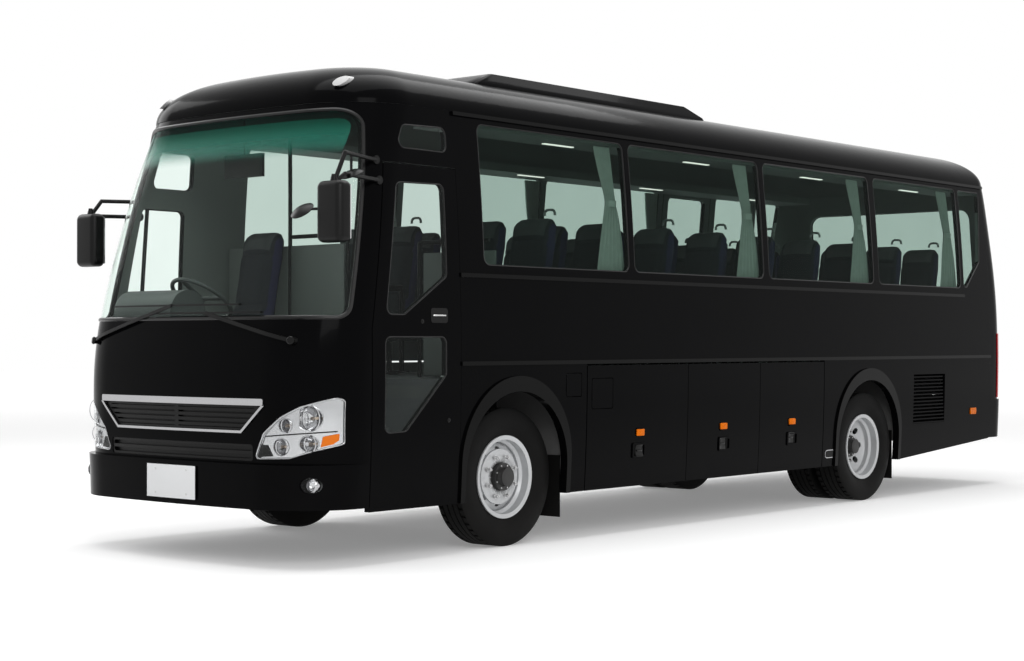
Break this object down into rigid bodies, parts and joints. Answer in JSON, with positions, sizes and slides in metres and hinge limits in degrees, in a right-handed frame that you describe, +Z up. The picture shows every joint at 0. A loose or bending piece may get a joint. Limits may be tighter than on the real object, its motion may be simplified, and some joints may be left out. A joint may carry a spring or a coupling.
{
  "type": "coach bus",
  "caption": "Medium touring coach with swing-out entrance door, top-hung luggage lids, rear engine lid, escape door, steered front wheels and twin rear wheels.",
  "frame": {"origin": "on the ground under the middle of the coach's box", "axes": "front faces -Y, +X is the coach's left (entrance side), +Z is up"},
  "size_m": [2.71, 8.9871, 3.1099],
  "materials": {
    "black_plastic": "black moulded plastic",
    "body_paint": "gloss black body paint",
    "cast_iron": "painted cast iron",
    "chassis_paint": "satin black chassis paint",
    "chrome": "bright chrome trim",
    "curtain_cloth": "pale grey curtain cloth",
    "dash_plastic": "grained dash moulding",
    "floor_vinyl": "grey vinyl floor",
    "galvanised": "grey painted sheet steel",
    "glass": "tinted safety glass",
    "lamp_colour": "amber and red lamp plastic",
    "lamp_glass": "clear lamp lens",
    "lamp_inner": "bright reflector moulding",
    "rubber": "black rubber sheet",
    "seat_fabric": "woven seat cloth",
    "trim": "black painted trim",
    "tyre": "black tyre rubber",
    "wheel_paint": "silver wheel paint"
  },
  "bodies": {
    "body": {"body_glass": "glass", "body_lamps": "lamp_colour", "cab_frame": "body_paint", "chassis_frame": "chassis_paint", "curtains": "curtain_cloth", "dashboard": "dash_plastic", "engine_block": "cast_iron", "floor": "floor_vinyl", "front_axle_beam": "cast_iron", "front_bumper": "body_paint", "front_cap": "body_paint", "front_panel": "body_paint", "grille": "black_plastic", "grille_trim": "chrome", "headlamp_housings": "lamp_inner", "headlamp_lenses": "lamp_glass", "interior_mirror": "black_plastic", "luggage_racks": "galvanised", "mouldings": "trim", "mud_flaps": "rubber", "outside_mirrors": "black_plastic", "radiator_louvre": "body_paint", "rear_axle_housing": "cast_iron", "rear_bumper": "body_paint", "rear_wall": "body_paint", "roof": "body_paint", "roof_unit": "body_paint", "seats": "seat_fabric", "side_wall_left": "body_paint", "side_wall_right": "body_paint", "skirt_left": "body_paint", "skirt_right": "body_paint", "step_well": "galvanised", "underfloor_panels": "galvanised", "windscreen": "glass", "wipers": "black_plastic"},
    "front_wheel_left": {"front_tyre_left": "tyre", "front_rim_left": "wheel_paint"},
    "front_wheel_right": {"front_tyre_right": "tyre", "front_rim_right": "wheel_paint"},
    "rear_wheels_left": {"rear_tyres_left": "tyre", "rear_rims_left": "wheel_paint"},
    "rear_wheels_right": {"rear_tyres_right": "tyre", "rear_rims_right": "wheel_paint"},
    "knuckle_left": {"knuckle_left": "cast_iron"},
    "knuckle_right": {"knuckle_right": "cast_iron"},
    "door_arm": {"door_arm": "galvanised"},
    "entrance_door": {"entrance_door": "body_paint", "entrance_door_glass": "glass"},
    "emergency_door": {"emergency_door": "body_paint", "emergency_door_glass": "glass"},
    "engine_lid": {"engine_lid": "body_paint"},
    "fuel_flap": {"fuel_flap": "body_paint"},
    "service_flap": {"service_flap": "body_paint"},
    "luggage_lid_left_1": {"luggage_lid_left_1": "body_paint"},
    "luggage_lid_left_2": {"luggage_lid_left_2": "body_paint"},
    "luggage_lid_left_3": {"luggage_lid_left_3": "body_paint"},
    "luggage_lid_right_1": {"luggage_lid_right_1": "body_paint"},
    "luggage_lid_right_2": {"luggage_lid_right_2": "body_paint"},
    "luggage_lid_right_3": {"luggage_lid_right_3": "body_paint"}
  },
  "joints": [
    {"name": "steer_left", "type": "hinge", "parent": "body", "child": "knuckle_left", "pos_m": [0.77, -2.625, 0.445], "axis": [0, 0, 1], "range_deg": [-38, 38]},
    {"name": "steer_right", "type": "hinge", "parent": "body", "child": "knuckle_right", "pos_m": [-0.77, -2.625, 0.445], "axis": [0, 0, 1], "range_deg": [-38, 38]},
    {"name": "front_wheel_left_spin", "type": "hinge", "parent": "knuckle_left", "child": "front_wheel_left", "pos_m": [0.9525, -2.625, 0.445], "axis": [1, 0, 0], "continuous": true},
    {"name": "front_wheel_right_spin", "type": "hinge", "parent": "knuckle_right", "child": "front_wheel_right", "pos_m": [-0.9525, -2.625, 0.445], "axis": [1, 0, 0], "continuous": true},
    {"name": "rear_wheels_left_spin", "type": "hinge", "parent": "body", "child": "rear_wheels_left", "pos_m": [0.8625, 1.865, 0.445], "axis": [1, 0, 0], "continuous": true},
    {"name": "rear_wheels_right_spin", "type": "hinge", "parent": "body", "child": "rear_wheels_right", "pos_m": [-0.8625, 1.865, 0.445], "axis": [1, 0, 0], "continuous": true},
    {"name": "door_arm_swing", "type": "hinge", "parent": "body", "child": "door_arm", "pos_m": [1, -3.8, 0.6], "axis": [0, 0, -1], "range_deg": [0, 120]},
    {"name": "entrance_door_turn", "type": "hinge", "parent": "door_arm", "child": "entrance_door", "pos_m": [0.97, -3.42119, 0.6], "axis": [0, 0, -1], "range_deg": [-120, 0]},
    {"name": "emergency_door_hinge", "type": "hinge", "parent": "body", "child": "emergency_door", "pos_m": [-1.174, 2.043, 1.8], "axis": [0, 0, 1], "range_deg": [0, 100]},
    {"name": "engine_lid_hinge", "type": "hinge", "parent": "body", "child": "engine_lid", "pos_m": [0, 4.458, 1.477], "axis": [1, 0, 0], "range_deg": [0, 75]},
    {"name": "fuel_flap_hinge", "type": "hinge", "parent": "luggage_lid_left_1", "child": "fuel_flap", "pos_m": [1.16836, -1.8597, 0.965], "axis": [0, 0, -1], "range_deg": [0, 95]},
    {"name": "service_flap_hinge", "type": "hinge", "parent": "body", "child": "service_flap", "pos_m": [1.16918, -2.1357, 1.028], "axis": [0, 0, -1], "range_deg": [0, 95]},
    {"name": "luggage_lid_left_1_hinge", "type": "hinge", "parent": "body", "child": "luggage_lid_left_1", "pos_m": [1.173, -1.3265, 1.155], "axis": [0, -1, 0], "range_deg": [0, 85]},
    {"name": "luggage_lid_left_2_hinge", "type": "hinge", "parent": "body", "child": "luggage_lid_left_2", "pos_m": [1.173, -0.266, 1.155], "axis": [0, -1, 0], "range_deg": [0, 85]},
    {"name": "luggage_lid_left_3_hinge", "type": "hinge", "parent": "body", "child": "luggage_lid_left_3", "pos_m": [1.173, 0.675, 1.155], "axis": [0, -1, 0], "range_deg": [0, 85]},
    {"name": "luggage_lid_right_1_hinge", "type": "hinge", "parent": "body", "child": "luggage_lid_right_1", "pos_m": [-1.173, -1.3265, 1.155], "axis": [0, 1, 0], "range_deg": [0, 85]},
    {"name": "luggage_lid_right_2_hinge", "type": "hinge", "parent": "body", "child": "luggage_lid_right_2", "pos_m": [-1.173, -0.266, 1.155], "axis": [0, 1, 0], "range_deg": [0, 85]},
    {"name": "luggage_lid_right_3_hinge", "type": "hinge", "parent": "body", "child": "luggage_lid_right_3", "pos_m": [-1.173, 0.675, 1.155], "axis": [0, 1, 0], "range_deg": [0, 85]}
  ],
  "couplings": [
    {"joint": "steer_right", "follows": "steer_left", "ratio": 1},
    {"joint": "entrance_door_turn", "follows": "door_arm_swing", "ratio": -1}
  ]
}
